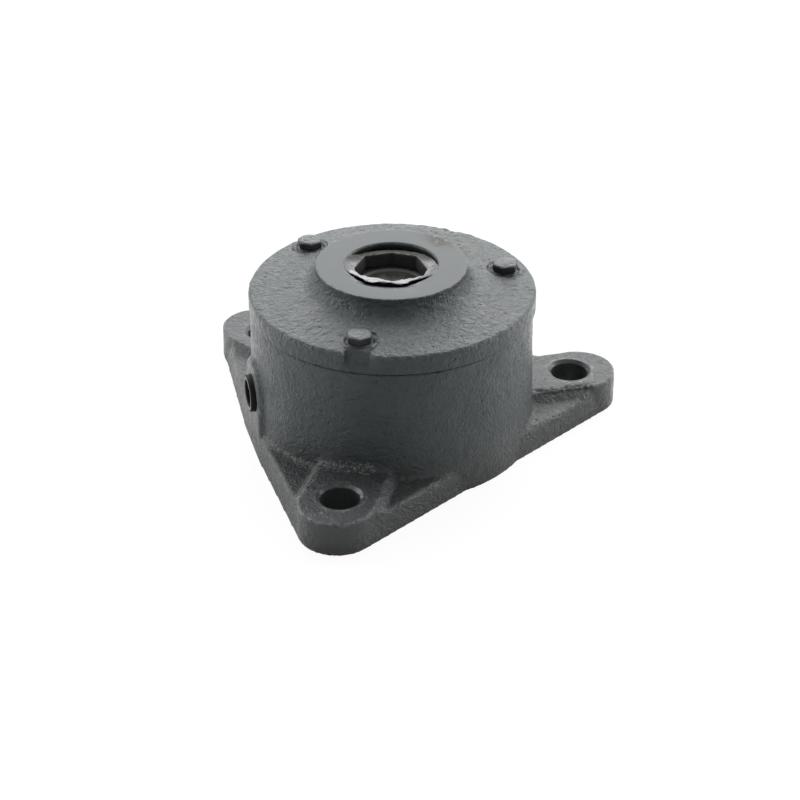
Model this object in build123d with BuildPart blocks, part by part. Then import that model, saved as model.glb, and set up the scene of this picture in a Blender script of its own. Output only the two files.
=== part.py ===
from build123d import *
import os
from math import cos, radians, sin, tan

os.makedirs("parts", exist_ok=True)

# A cast flange bearing housing. The mounting face lies at z = 0 and the shaft runs up the Z axis.
# Three ears stand at 0, 120 and 240 degrees, and the side port faces -X. All sizes are in mm.

# Body casting
body_base_r = 66.0
body_taper = 1.6
body_h = 64.6
bearing_seat_depth = 23.6
seat_shoulder_w = 4.0
seat_shoulder_h = 6.0
chamber_r = 50.0
chamber_z = 15.0
chamber_round = 5.0
root_round = 3.0

# Three-eared flange
ear_count = 3
ear_tip_r = 17.5
ear_tip_offset = 4.6
web_h = 12.0
web_draft = 8.0
web_edge_round = 2.2
pad_h = 16.2
pad_draft = 0.5
pad_root_centre = 33.0
pad_root_half_width = 16.0
pad_edge_round = 1.0
pad_foot_w = 3.2
pad_foot_slope = 45.0
bolt_circle_r = 88.0
bolt_hole_d = 17.5
bolt_hole_chamfer = 1.5

# Side port
port_z = 28.0
port_boss_proud = 0.5
port_boss_half_width = 13.0
port_boss_top = 45.0
port_boss_draft = 12.0
port_boss_round = 1.5
port_foot_proud = 1.5
port_foot_half_width = 15.0
port_bush_od = 17.2
port_bush_bore = 13.2
port_bush_length = 16.7
port_passage_d = 10.0
port_bush_proud = 2.2
port_bush_round = 0.5

# Cover and gasket
gasket_t = 0.4
gasket_inset = 0.5
cover_overhang = 0.6
cover_rim_t = 9.0
cover_rim_chamfer = 1.0
cover_cone_rise = 3.6
boss_r = 34.4
boss_h = 11.5
boss_root_round = 7.5
cover_bore_r = 20.95
cover_bore_chamfer = 0.4
spigot_wall = 8.5
cover_pocket_h = 6.5
spigot_clearance = 0.03

# Cover screws, M6
screw_edge_distance = 10.4
screw_d = 6.0
screw_length = 20.0
screw_head_af = 10.0
screw_head_h = 4.2
screw_crown_r = 4.8
screw_crown_angle = 30.0
screw_clearance_hole_d = 6.6
tapped_hole_extra = 3.0
thread_clearance = 0.05
screw_turns = {0: 1.6, 120: 24.6, 240: 16.0}
spot_face_r = 8.1
spot_face_depth = 0.1
notch_angle = 241.5
notch_half_width = 5.6
notch_inset = 3.2
notch_foot_h = 1.5

# Deep-groove ball bearing, 45 x 85 x 19
bearing_bore_r = 22.5
bearing_outer_r = 42.5
bearing_w = 19.0
ball_count = 9
ball_share = 0.3175
race_clearance = 0.05
groove_ease = 0.25
inner_groove_depth = 2.65
outer_groove_depth = 2.55
ring_corner = 1.0
cage_sheet_t = 1.0
cage_pocket_clearance = 0.15
cage_band_w = 4.2
rivet_d = 1.5
rivet_head_d = 2.8
rivet_head_h = 0.5
rivet_clearance = 0.05

# Shaft sleeve and its circlip
shaft_d = 30.0
sleeve_bottom_z = 2.0
sleeve_recess = 10.9
sleeve_top_r = 17.5
sleeve_shoulder_h = 3.5
sleeve_collar_r = 26.5
sleeve_collar_h = 4.5
sleeve_chamfer = 0.8
circlip_t = 1.75
circlip_r = 25.6
circlip_groove_depth = 1.25
circlip_clearance = 0.05
circlip_gap_angle = 24.0
circlip_gap_half_width = 3.0
circlip_eye_r = 2.4
circlip_eye_hole_d = 2.0

# Shaft seals and their garter springs
seal_width = 8.5
seal_wall = 1.6
lip_clearance = 0.1
lip_depth = 5.6
lip_edge_depth = 3.4
lip_back = 3.0
upper_seal_h = 7.0
lower_seal_h = 8.0
lower_seal_z = 3.0
seal_stop_w = 3.0
spring_r = 0.8
spring_cover = 0.5
spring_clearance = 0.05

# Eight-sided ring that lies askew in the bore of the cover
bore_ring_sides = 8
bore_ring_flat_r = 15.6
bore_ring_wall = 0.8
bore_ring_depth = 6.6
bore_ring_flange_t = 0.9
bore_ring_gap = 0.2
bore_ring_tilt = 8.0
bore_ring_sink = 0.6
bore_ring_high_side = -105.4

# Radii that follow from the sizes above
body_top_r = body_base_r - body_taper
cover_r = body_top_r + cover_overhang
screw_circle_r = body_top_r - screw_edge_distance
ear_tip_centre = bolt_circle_r + ear_tip_offset
port_boss_face = body_base_r + port_boss_proud
port_foot_reach = body_base_r + port_foot_proud
spigot_r = bearing_outer_r - spigot_clearance
cover_pocket_r = spigot_r - spigot_wall
upper_seal_r = sleeve_top_r + seal_width
lower_seal_r = bearing_bore_r + seal_width
groove_floor_r = bearing_bore_r - circlip_groove_depth
ball_pitch_r = (bearing_bore_r + bearing_outer_r) / 2
ball_r = ball_share * (bearing_outer_r - bearing_bore_r)
groove_r = ball_r + groove_ease
inner_shoulder_r = ball_pitch_r - ball_r + inner_groove_depth
outer_shoulder_r = ball_pitch_r + ball_r - outer_groove_depth
cage_inner_r = ball_pitch_r - cage_band_w / 2
cage_outer_r = ball_pitch_r + cage_band_w / 2
pocket_r = ball_r + cage_pocket_clearance
tapped_hole_r = screw_d / 2 + thread_clearance

# Levels that follow from the sizes above
cover_z = body_h + gasket_t
rim_top_z = cover_z + cover_rim_t
boss_top_z = rim_top_z + boss_h
cone_slope = cover_cone_rise / (cover_r - cover_rim_chamfer - boss_r)
spot_face_z = rim_top_z + cone_slope * (cover_r - cover_rim_chamfer - screw_circle_r) - spot_face_depth
bearing_z = body_h - bearing_seat_depth
bearing_top_z = bearing_z + bearing_w
ball_z = bearing_z + bearing_w / 2
chamber_top_z = bearing_z - seat_shoulder_h
upper_seal_z = bearing_top_z + cover_pocket_h
sleeve_top_z = boss_top_z - sleeve_recess
sleeve_step_z = bearing_top_z + sleeve_shoulder_h


def turned(*points):
    """A turned solid whose half section has these (radius, height) corners."""
    with BuildPart() as piece:
        with BuildSketch(Plane.XZ):
            with BuildLine():
                Polyline(*points, close=True)
            make_face()
        revolve(axis=Axis.Z)
    return piece.part


def finish(piece, name):
    piece.part.label = name
    export_step(piece.part, f"parts/{name}.step")


# Housing: the flange plate, its outline wider at the port's foot
with BuildSketch() as port_foot:
    with PolarLocations(ear_tip_centre, 2, start_angle=120, angular_range=240):
        Circle(ear_tip_r)
    with Locations((-port_foot_reach, 0)):
        Rectangle(port_foot_reach, 2 * port_foot_half_width, align=(Align.MIN, Align.CENTER))
    make_hull()

with BuildSketch() as flange_outline:
    with PolarLocations(ear_tip_centre, ear_count):
        Circle(ear_tip_r)
    make_hull()
    Circle(body_base_r)
    add(port_foot.sketch)

with BuildPart() as plate:
    extrude(flange_outline.sketch, amount=web_h, taper=web_draft)
    fillet(plate.faces().sort_by(Axis.Z)[-1].edges(), web_edge_round)

# One raised pad, later repeated on every ear
with BuildPart() as pad:
    with BuildSketch():
        with Locations((ear_tip_centre, 0)):
            Circle(ear_tip_r)
        with Locations((pad_root_centre, 0)):
            Circle(pad_root_half_width)
        make_hull()
    extrude(amount=pad_h, taper=pad_draft)
    fillet(pad.faces().sort_by(Axis.Z)[-1].edges(), pad_edge_round)

# The slope at the foot of a pad's sides, kept within the flange's own outline
with BuildPart() as pad_foot:
    extrude(flange_outline.sketch, amount=pad_h, taper=web_draft)
    with BuildSketch(Plane.XY.offset(web_h)):
        with Locations((ear_tip_centre, 0)):
            Circle(ear_tip_r + pad_foot_w)
        with Locations((pad_root_centre, 0)):
            Circle(pad_root_half_width + pad_foot_w)
        make_hull()
    extrude(amount=pad_h - web_h - pad_edge_round, taper=pad_foot_slope, mode=Mode.INTERSECT)

# Flat boss around the side port
with BuildPart() as port_boss:
    with BuildSketch(Plane.YZ.offset(-port_boss_face)):
        with Locations((0, port_boss_top - port_boss_half_width)):
            Circle(port_boss_half_width)
        Rectangle(
            2 * port_boss_half_width,
            port_boss_top - port_boss_half_width,
            align=(Align.CENTER, Align.MIN),
        )
    extrude(amount=port_boss_face - chamber_r, taper=-port_boss_draft)
    face_edges = port_boss.faces().sort_by(Axis.X)[0].edges()
    fillet(face_edges.sort_by(Axis.Z)[1:], port_boss_round)
    with Locations((-port_boss_face, 0, 0)):
        Box(
            2 * body_base_r,
            4 * port_boss_half_width,
            body_h,
            align=(Align.CENTER, Align.CENTER, Align.MAX),
            mode=Mode.SUBTRACT,
        )

housing_hollow = turned(
    (0, body_h),
    (bearing_outer_r, body_h),
    (bearing_outer_r, bearing_z),
    (bearing_outer_r - seat_shoulder_w, bearing_z),
    (bearing_outer_r - seat_shoulder_w, chamber_top_z),
    (chamber_r - chamber_round, chamber_top_z),
    (chamber_r, chamber_top_z - chamber_round),
    (chamber_r, chamber_z + chamber_round),
    (chamber_r - chamber_round, chamber_z),
    (lower_seal_r - seal_stop_w, chamber_z),
    (lower_seal_r - seal_stop_w, lower_seal_z + lower_seal_h),
    (lower_seal_r, lower_seal_z + lower_seal_h),
    (lower_seal_r, 0),
    (0, 0),
)

with BuildPart() as housing:
    add(turned((0, 0), (body_base_r, 0), (body_top_r, body_h), (0, body_h)))
    add(plate.part)
    with PolarLocations(0, ear_count):
        add(pad.part)
    body_side = housing.faces().filter_by(GeomType.CONE).sort_by(SortBy.AREA)[-1]
    root_low = web_h - web_edge_round
    root_high = pad_h + root_round
    fillet(body_side.edges().filter_by(lambda edge: root_low < edge.center().Z < root_high), root_round)
    with PolarLocations(0, ear_count):
        add(pad_foot.part)
    add(port_boss.part)
    add(housing_hollow, mode=Mode.SUBTRACT)
    with Locations(Plane.XY.offset(pad_h)):
        with PolarLocations(bolt_circle_r, ear_count):
            Hole(bolt_hole_d / 2)
            Cone(
                bolt_hole_d / 2,
                bolt_hole_d / 2 + bolt_hole_chamfer,
                bolt_hole_chamfer,
                align=(Align.CENTER, Align.CENTER, Align.MAX),
                mode=Mode.SUBTRACT,
            )
    with Locations(Plane.XY.offset(body_h)):
        with PolarLocations(screw_circle_r, ear_count):
            Cylinder(
                tapped_hole_r,
                screw_length + tapped_hole_extra - (spot_face_z - body_h),
                align=(Align.CENTER, Align.CENTER, Align.MAX),
                mode=Mode.SUBTRACT,
            )
    with BuildSketch(Plane.YZ.offset(-port_boss_face)):
        with Locations((0, port_z)):
            Circle(port_bush_od / 2)
    extrude(amount=port_bush_length - port_bush_proud, mode=Mode.SUBTRACT)
    with BuildSketch(Plane.YZ.offset(-port_boss_face)):
        with Locations((0, port_z)):
            Circle(port_passage_d / 2)
    extrude(amount=port_boss_face - chamber_r + chamber_round, mode=Mode.SUBTRACT)
finish(housing, "housing")

# Bush in the side port, open from outside to the grease chamber
with BuildPart() as port_bush:
    with BuildSketch(Plane.YZ.offset(-port_boss_face - port_bush_proud)):
        with Locations((0, port_z)):
            Circle(port_bush_od / 2)
            Circle(port_bush_bore / 2, mode=Mode.SUBTRACT)
    extrude(amount=port_bush_length)
    fillet(port_bush.faces().sort_by(Axis.X)[0].edges(), port_bush_round)
finish(port_bush, "port_bush")

# Gasket between the body and the cover
with BuildPart() as gasket:
    with BuildSketch(Plane.XY.offset(body_h)):
        Circle(body_top_r - gasket_inset)
        Circle(bearing_outer_r, mode=Mode.SUBTRACT)
        with PolarLocations(screw_circle_r, ear_count):
            Circle(screw_clearance_hole_d / 2, mode=Mode.SUBTRACT)
    extrude(amount=gasket_t)
finish(gasket, "gasket")

# Cover: a shallow cone that rises through a wide root to the boss, with a spigot below. Its three
# screw seats are flat discs, and a sloped notch cuts through the rim in front of one of them.
with BuildSketch(Plane.XY.offset(spot_face_z)) as screw_seats:
    with PolarLocations(screw_circle_r, ear_count):
        Circle(spot_face_r)

notch_way = radians(notch_angle)
notch_plane = Plane(
    origin=(0, 0, 0),
    x_dir=(cos(notch_way), sin(notch_way), 0),
    z_dir=(sin(notch_way), -cos(notch_way), 0),
)

with BuildPart() as cover:
    with BuildSketch(Plane.XZ) as cover_section:
        with BuildLine():
            Polyline(
                (spigot_r, bearing_top_z),
                (spigot_r, cover_z),
                (cover_r, cover_z),
                (cover_r, rim_top_z - cover_rim_chamfer),
                (cover_r - cover_rim_chamfer, rim_top_z),
                (boss_r, rim_top_z + cover_cone_rise),
                (boss_r, boss_top_z),
                (cover_bore_r + cover_bore_chamfer, boss_top_z),
                (cover_bore_r, boss_top_z - cover_bore_chamfer),
                (cover_bore_r, upper_seal_z + upper_seal_h),
                (upper_seal_r, upper_seal_z + upper_seal_h),
                (upper_seal_r, upper_seal_z),
                (cover_pocket_r, upper_seal_z),
                (cover_pocket_r, bearing_top_z),
                close=True,
            )
        make_face()
        boss_root = cover_section.vertices().sort_by_distance((boss_r, rim_top_z + cover_cone_rise))[0]
        fillet(boss_root, boss_root_round)
    revolve(axis=Axis.Z)
    extrude(screw_seats.sketch, amount=rim_top_z - spot_face_z)
    extrude(screw_seats.sketch, amount=boss_top_z - spot_face_z, mode=Mode.SUBTRACT)
    with BuildSketch(notch_plane):
        with BuildLine():
            Polyline(
                (cover_r - notch_inset, spot_face_z),
                (cover_r + notch_inset, spot_face_z),
                (cover_r + notch_inset, 2 * (cover_z + notch_foot_h) - spot_face_z),
                close=True,
            )
        make_face()
    extrude(amount=notch_half_width, both=True, mode=Mode.SUBTRACT)
    with Locations(Plane.XY.offset(spot_face_z)):
        with PolarLocations(screw_circle_r, ear_count):
            Hole(screw_clearance_hole_d / 2)
finish(cover, "cover")

# Cover screws: hexagon heads with a chamfered crown
with BuildPart() as screw_blank:
    with BuildSketch():
        RegularPolygon(screw_head_af / 2, 6, major_radius=False)
    extrude(amount=screw_head_h)
    crown_drop = (screw_head_af - screw_crown_r) * tan(radians(screw_crown_angle))
    crown = turned(
        (0, 0),
        (screw_head_af, 0),
        (screw_head_af, screw_head_h - crown_drop),
        (screw_crown_r, screw_head_h),
        (0, screw_head_h),
    )
    add(crown, mode=Mode.INTERSECT)
    with BuildSketch():
        Circle(screw_d / 2)
    extrude(amount=-screw_length)

for number, (angle, turn) in enumerate(screw_turns.items(), start=1):
    with BuildPart() as cover_screw:
        with PolarLocations(screw_circle_r, 1, start_angle=angle):
            with Locations(Location((0, 0, spot_face_z), (0, 0, turn))):
                add(screw_blank.part)
    finish(cover_screw, f"cover_screw_{number}")

# Bearing rings, each turned with a groove that the balls run in
outer_ring_section = (
    (outer_shoulder_r, bearing_z),
    (bearing_outer_r, bearing_z),
    (bearing_outer_r, bearing_top_z),
    (outer_shoulder_r, bearing_top_z),
)
inner_ring_section = (
    (bearing_bore_r, bearing_z),
    (inner_shoulder_r, bearing_z),
    (inner_shoulder_r, bearing_top_z),
    (bearing_bore_r, bearing_top_z),
)


def race(section, groove_centre_r):
    """A bearing ring with rounded corners and a ball groove around groove_centre_r."""
    with BuildPart() as ring:
        with BuildSketch(Plane.XZ) as ring_section:
            with BuildLine():
                Polyline(*section, close=True)
            make_face()
            fillet(ring_section.vertices(), ring_corner)
            with Locations((groove_centre_r, ball_z)):
                Circle(groove_r, mode=Mode.SUBTRACT)
        revolve(axis=Axis.Z)
    return ring


groove_shift = groove_r - ball_r - race_clearance
finish(race(outer_ring_section, ball_pitch_r - groove_shift), "bearing_outer_ring")
finish(race(inner_ring_section, ball_pitch_r + groove_shift), "bearing_inner_ring")

for number in range(ball_count):
    with BuildPart() as ball:
        with Locations(Plane.XY.offset(ball_z)):
            with PolarLocations(ball_pitch_r, 1, start_angle=number * 360 / ball_count):
                Sphere(ball_r)
    finish(ball, f"ball_{number + 1}")


# Pressed cage: two halves that meet on the ball plane, with a domed pocket over each ball
def cage_half(side):
    """The half on this side of the ball plane, 1 for the upper one and -1 for the lower."""
    with BuildPart() as band:
        with BuildSketch(Plane.XY.offset(ball_z)):
            Circle(cage_outer_r)
            Circle(cage_inner_r, mode=Mode.SUBTRACT)
        extrude(amount=side * bearing_w / 2)
    with BuildPart() as half:
        with BuildSketch(Plane.XY.offset(ball_z)):
            Circle(cage_outer_r)
            Circle(cage_inner_r, mode=Mode.SUBTRACT)
        extrude(amount=side * cage_sheet_t)
        with Locations(Plane.XY.offset(ball_z)):
            with PolarLocations(ball_pitch_r, ball_count):
                Sphere(pocket_r + cage_sheet_t)
        add(band.part, mode=Mode.INTERSECT)
        with Locations(Plane.XY.offset(ball_z)):
            with PolarLocations(ball_pitch_r, ball_count):
                Sphere(pocket_r, mode=Mode.SUBTRACT)
            with PolarLocations(ball_pitch_r, ball_count, start_angle=180 / ball_count):
                Cylinder(rivet_d / 2 + rivet_clearance, bearing_w, mode=Mode.SUBTRACT)
    return half


finish(cage_half(1), "cage_upper_half")
finish(cage_half(-1), "cage_lower_half")

with BuildPart() as cage_rivets:
    with Locations(Plane.XY.offset(ball_z)):
        with PolarLocations(ball_pitch_r, ball_count, start_angle=180 / ball_count):
            Cylinder(rivet_d / 2, 2 * (cage_sheet_t + rivet_head_h))
            with Locations((0, 0, cage_sheet_t)):
                Cylinder(rivet_head_d / 2, rivet_head_h, align=(Align.CENTER, Align.CENTER, Align.MIN))
            with Locations((0, 0, -cage_sheet_t)):
                Cylinder(rivet_head_d / 2, rivet_head_h, align=(Align.CENTER, Align.CENTER, Align.MAX))
finish(cage_rivets, "cage_rivets")

# Shaft sleeve: a stepped tube whose collar and circlip hold the inner ring
with BuildPart() as shaft_sleeve:
    add(
        turned(
            (shaft_d / 2, sleeve_bottom_z),
            (bearing_bore_r, sleeve_bottom_z),
            (bearing_bore_r, bearing_z - sleeve_collar_h),
            (sleeve_collar_r, bearing_z - sleeve_collar_h),
            (sleeve_collar_r, bearing_z),
            (bearing_bore_r, bearing_z),
            (bearing_bore_r, bearing_top_z),
            (groove_floor_r, bearing_top_z),
            (groove_floor_r, bearing_top_z + circlip_t + 2 * circlip_clearance),
            (bearing_bore_r, bearing_top_z + circlip_t + 2 * circlip_clearance),
            (bearing_bore_r, sleeve_step_z),
            (sleeve_top_r, sleeve_step_z),
            (sleeve_top_r, sleeve_top_z),
            (shaft_d / 2, sleeve_top_z),
        )
    )
    end_faces = shaft_sleeve.faces().filter_by(GeomType.PLANE).sort_by(Axis.Z)
    chamfer(end_faces[0].edges() + end_faces[-1].edges(), sleeve_chamfer)
finish(shaft_sleeve, "shaft_sleeve")

with BuildPart() as circlip:
    with BuildSketch(Plane.XY.offset(bearing_top_z + circlip_clearance)):
        Circle(circlip_r)
        with PolarLocations(circlip_r - circlip_eye_r / 2, 2, start_angle=-circlip_gap_angle / 2,
                            angular_range=2 * circlip_gap_angle):
            Circle(circlip_eye_r)
        Circle(groove_floor_r + circlip_clearance, mode=Mode.SUBTRACT)
        with BuildLine():
            Polyline(
                (0, 0),
                (cover_pocket_r, -circlip_gap_half_width),
                (cover_pocket_r, circlip_gap_half_width),
                close=True,
            )
        make_face(mode=Mode.SUBTRACT)
        with PolarLocations(circlip_r - circlip_eye_r / 2, 2, start_angle=-circlip_gap_angle / 2,
                            angular_range=2 * circlip_gap_angle):
            Circle(circlip_eye_hole_d / 2, mode=Mode.SUBTRACT)
    extrude(amount=circlip_t)
finish(circlip, "sleeve_circlip")


# Shaft seals: a steel-backed rubber ring with one lip, kept on the shaft by a garter spring
def seal_pair(seat_z, height, journal_r, plate_side):
    """The seal and its spring. plate_side is 1 with the closed plate on top and -1 with it below."""
    seat_r = journal_r + seal_width
    plate_z = seat_z + height if plate_side > 0 else seat_z
    spring_depth = lip_depth - spring_r - spring_cover
    spring_centre = (journal_r + lip_back + spring_r / 2, plate_z - plate_side * spring_depth)
    levels = (
        (seat_r, height),
        (seat_r, 0),
        (journal_r + lip_back, 0),
        (journal_r + lip_clearance, lip_edge_depth),
        (journal_r + lip_back / 2, lip_depth),
        (journal_r + lip_back, lip_depth),
        (journal_r + lip_back, seal_wall),
        (seat_r - seal_wall, seal_wall),
        (seat_r - seal_wall, height),
    )
    with BuildPart() as seal:
        with BuildSketch(Plane.XZ):
            with BuildLine():
                Polyline(*[(r, plate_z - plate_side * depth) for r, depth in levels], close=True)
            make_face()
            with Locations(spring_centre):
                Circle(spring_r + spring_clearance, mode=Mode.SUBTRACT)
        revolve(axis=Axis.Z)
    with BuildPart() as spring:
        with BuildSketch(Plane.XZ):
            with Locations(spring_centre):
                Circle(spring_r)
        revolve(axis=Axis.Z)
    return seal, spring


upper_seal, upper_spring = seal_pair(upper_seal_z, upper_seal_h, sleeve_top_r, 1)
lower_seal, lower_spring = seal_pair(lower_seal_z, lower_seal_h, bearing_bore_r, -1)
finish(upper_seal, "upper_seal")
finish(upper_spring, "upper_seal_spring")
finish(lower_seal, "lower_seal")
finish(lower_spring, "lower_seal_spring")

# Thin flanged ring with an eight-sided collar, tilted across the bore of the cover
high_side = radians(bore_ring_high_side)
lean = radians(bore_ring_tilt)
bore_ring_plane = Plane(
    origin=(0, 0, boss_top_z - bore_ring_sink),
    x_dir=(-sin(high_side), cos(high_side), 0),
    z_dir=(-sin(lean) * cos(high_side), -sin(lean) * sin(high_side), cos(lean)),
)
with BuildPart() as bore_ring:
    with BuildSketch(bore_ring_plane):
        Circle(cover_bore_r - bore_ring_gap)
    extrude(amount=-bore_ring_flange_t)
    with BuildSketch(bore_ring_plane):
        RegularPolygon(bore_ring_flat_r + bore_ring_wall, bore_ring_sides, major_radius=False)
    extrude(amount=-bore_ring_depth)
    with BuildSketch(bore_ring_plane):
        RegularPolygon(bore_ring_flat_r, bore_ring_sides, major_radius=False)
    extrude(amount=-bore_ring_depth, mode=Mode.SUBTRACT)
finish(bore_ring, "bore_ring")
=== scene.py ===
from math import cos, pi, radians, sin

import bpy
import numpy as np
from mathutils import Matrix, Vector, noise


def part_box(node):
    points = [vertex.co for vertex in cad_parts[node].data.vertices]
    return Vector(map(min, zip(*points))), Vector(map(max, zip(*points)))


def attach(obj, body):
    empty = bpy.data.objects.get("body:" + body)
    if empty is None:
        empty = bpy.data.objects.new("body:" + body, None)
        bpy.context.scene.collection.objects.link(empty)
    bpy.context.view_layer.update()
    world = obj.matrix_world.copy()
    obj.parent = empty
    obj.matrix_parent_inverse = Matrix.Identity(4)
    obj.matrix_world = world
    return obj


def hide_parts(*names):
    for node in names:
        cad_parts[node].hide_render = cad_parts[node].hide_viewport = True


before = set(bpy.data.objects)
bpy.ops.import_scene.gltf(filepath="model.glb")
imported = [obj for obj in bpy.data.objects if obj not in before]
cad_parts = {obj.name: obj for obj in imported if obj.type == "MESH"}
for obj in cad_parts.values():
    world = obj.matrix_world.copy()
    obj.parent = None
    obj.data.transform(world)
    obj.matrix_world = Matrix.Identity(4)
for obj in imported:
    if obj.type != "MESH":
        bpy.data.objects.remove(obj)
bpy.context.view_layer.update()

# The looks of a cast flange bearing housing. Lengths are in metres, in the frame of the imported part.
MM = 0.001

# Camera, fitted to the outlines in the photograph. The target is written in the camera's own heading.
CAMERA_HEADING = radians(-15.38)
CAMERA_ELEVATION = radians(31.22)
CAMERA_DISTANCE = 0.9491
CAMERA_TARGET = (0.00384, 0.0, 0.01341)
CAMERA_LENS = 90.86

# Levels and radii that the looks depend on, read from the frame
COVER_LOW, COVER_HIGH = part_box("cover")
RING_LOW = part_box("bore_ring")[0]
PORT_LOW, PORT_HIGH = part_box("port_bush")
BOSS_TOP = COVER_HIGH.z
BODY_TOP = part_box("housing")[1].z

# Levels and radii of the CAD that no piece's box gives
BOSS_R = 34.4 * MM
COVER_BORE_R = 20.95 * MM
COVER_RIM_TOP = 73.6 * MM
COVER_RIM_R = 64 * MM
SCREW_SEAT = 75.1 * MM
SCREW_HEAD_R = 5.5 * MM
PAD_TOP = 16.2 * MM
BOLT_HOLE_R = 8.75 * MM
BOLT_HOLE_CHAMFER = 1.5 * MM
BOLT_CIRCLE_R = 88.0 * MM
EAR_AZIMUTHS = [turn * 2 * pi / 3 for turn in range(3)]
LEFT_REAR_EAR = EAR_AZIMUTHS[1]
SCREW_NUMBERS = (1, 2, 3)

# Triangles of a dressed casting and of a dressed screw, and the rounds of smoothing that show its edges
CASTING_TRIANGLES = 190000
SCREW_TRIANGLES = 20000
EDGE_ROUNDS = 16

HEADING = Matrix.Rotation(CAMERA_HEADING, 3, "Z")


def faced(x, y, z):
    """A point from millimetres right of, behind and above the part's middle, as the camera faces it."""
    return HEADING @ Vector((x, y, z)) * MM


# Directions as the camera faces them
RIGHTWARD = faced(1000, 0, 0)
REARWARD = faced(0, 1000, 0)
FORWARD = faced(0, -1000, 0)

# Middles of the bolt holes; the last one is the front ear's
HOLE_CENTRES = [
    (BOLT_CIRCLE_R * cos(azimuth), BOLT_CIRCLE_R * sin(azimuth), 0) for azimuth in EAR_AZIMUTHS
]

# Flaws of the housing seen in the photograph: a dent under the right pad's edge, darkened with painted
# shade, pale specks painted as glints on the sand along the front pad's root and its left edge, and the
# rough flank beside that pad. A glint line has its two ends, its reach and the noise above which a glint
# shows.
PAD_FOOT_DENT_AND_SHADE_LINE = (faced(64, 3, 14.6), faced(93, 9.3, 14.6))
GLINT_LINES = (
    ((faced(-31, -61.5, 16.8), faced(-10, -65, 16.8)), 4.5 * MM, 0.50),
    ((faced(-31.5, -60, 15.5), faced(-40, -88, 14)), 3 * MM, 0.50),
    ((faced(-36, -95.6, 16.2), faced(-25, -101, 16.2)), 5 * MM, 0.57),
)
FLANK_LINE = (faced(-1.6, -66.9, 14), faced(-6.5, -92.4, 14))

# The front side of the port's boss melts into the body: heights in millimetres, rounds of smoothing
PORT_BOSS_SIDE = (-64.5, -14)
PORT_BOSS_MELT = ((14, 16), (24, 30), (33, 45), (43, 45))
EAR_STRETCH = 2.4 * MM
# The housing's waves start outside its bore and its bearing's seat
WAVES_FROM_R = 52 * MM

# Flaws of the cover: a stain at the rear of the boss, a coarse patch behind it, small chips at the
# front rim, a right side that stands out a little, a notch in the rim and a dished edge of the bore
STAIN_PLACE = faced(27.5, 28.5, 84)
COARSE_PLACE = faced(30, 54, 75)
CHIP_PLACE = faced(3, -64, 73.6)
BULGE_PLACE = faced(66, 6, 70)
BULGE = 0.9 * MM
NOTCH_PLACE = faced(-14.2, -62.5, 70)
NOTCH_RIGHT = -14.2 * MM
NOTCH_HALF_WIDTH = 6.2 * MM
NOTCH_REAR = -57 * MM
NOTCH_SHIFT = faced(0, 1.3, 0)
DISH_WAY = HEADING @ Vector((-0.148, -0.989, 0))
DISH_R = 24.2 * MM
DISH_DEPTH = 1.1 * MM

# Grooves round a screw, from its axis: at the edge of its seat and round its head
SEAT_GROOVE_R = 8.2 * MM
HEAD_GROOVE_R = 6.2 * MM


# Node helpers
def new_material(name):
    """A node material with its shader: (material, tree, shader)."""
    material = bpy.data.materials.new(name)
    material.use_nodes = True
    return material, material.node_tree, material.node_tree.nodes["Principled BSDF"]


def node(tree, kind, inputs=None, **settings):
    """A node with its settings and inputs; an input is a value or a socket to link."""
    made = tree.nodes.new(kind)
    for name, value in settings.items():
        setattr(made, name, value)
    for name, value in (inputs or {}).items():
        if isinstance(value, bpy.types.NodeSocket):
            tree.links.new(value, made.inputs[name])
        else:
            made.inputs[name].default_value = value
    return made


def position(tree):
    return node(tree, "ShaderNodeTexCoord").outputs["Object"]


def noise_value(tree, scale, detail=2.0, roughness=0.5, distortion=0.0):
    made = node(tree, "ShaderNodeTexNoise", {
        "Vector": position(tree), "Scale": scale, "Detail": detail, "Roughness": roughness,
        "Distortion": distortion,
    })
    return made.outputs["Fac"]


def spread(tree, value, low, high, to_low=0.0, to_high=1.0):
    """Maps low..high smoothly to to_low..to_high."""
    made = node(tree, "ShaderNodeMapRange", {
        "Value": value, "From Min": low, "From Max": high, "To Min": to_low, "To Max": to_high,
    }, interpolation_type="SMOOTHSTEP")
    return made.outputs["Result"]


def maths(tree, operation, first, second=0.0):
    return node(tree, "ShaderNodeMath", {0: first, 1: second}, operation=operation).outputs[0]


def times(tree, first, second):
    return maths(tree, "MULTIPLY", first, second)


def plus(tree, first, second):
    return maths(tree, "ADD", first, second)


def blend_colours(tree, share, first, second):
    made = node(tree, "ShaderNodeMix", data_type="RGBA")
    for socket, value in ((made.inputs[0], share), (made.inputs[6], first), (made.inputs[7], second)):
        if isinstance(value, bpy.types.NodeSocket):
            tree.links.new(value, socket)
        else:
            socket.default_value = value
    return made.outputs[2]


def coordinates(tree):
    """The x, y and z of the shaded point."""
    parts = node(tree, "ShaderNodeSeparateXYZ", {"Vector": position(tree)})
    return parts.outputs["X"], parts.outputs["Y"], parts.outputs["Z"]


def radius_and_height(tree):
    x, y, z = coordinates(tree)
    return maths(tree, "SQRT", plus(tree, times(tree, x, x), times(tree, y, y))), z


def distance(tree, first, second):
    """Distance between two places, each a socket or a fixed point."""
    made = node(tree, "ShaderNodeVectorMath", {0: first, 1: second}, operation="DISTANCE")
    return made.outputs["Value"]


def reach_along(tree, direction):
    """How far the shaded point lies from the part's middle in a direction."""
    made = node(tree, "ShaderNodeVectorMath", {0: position(tree), 1: direction}, operation="DOT_PRODUCT")
    return made.outputs["Value"]


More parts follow.
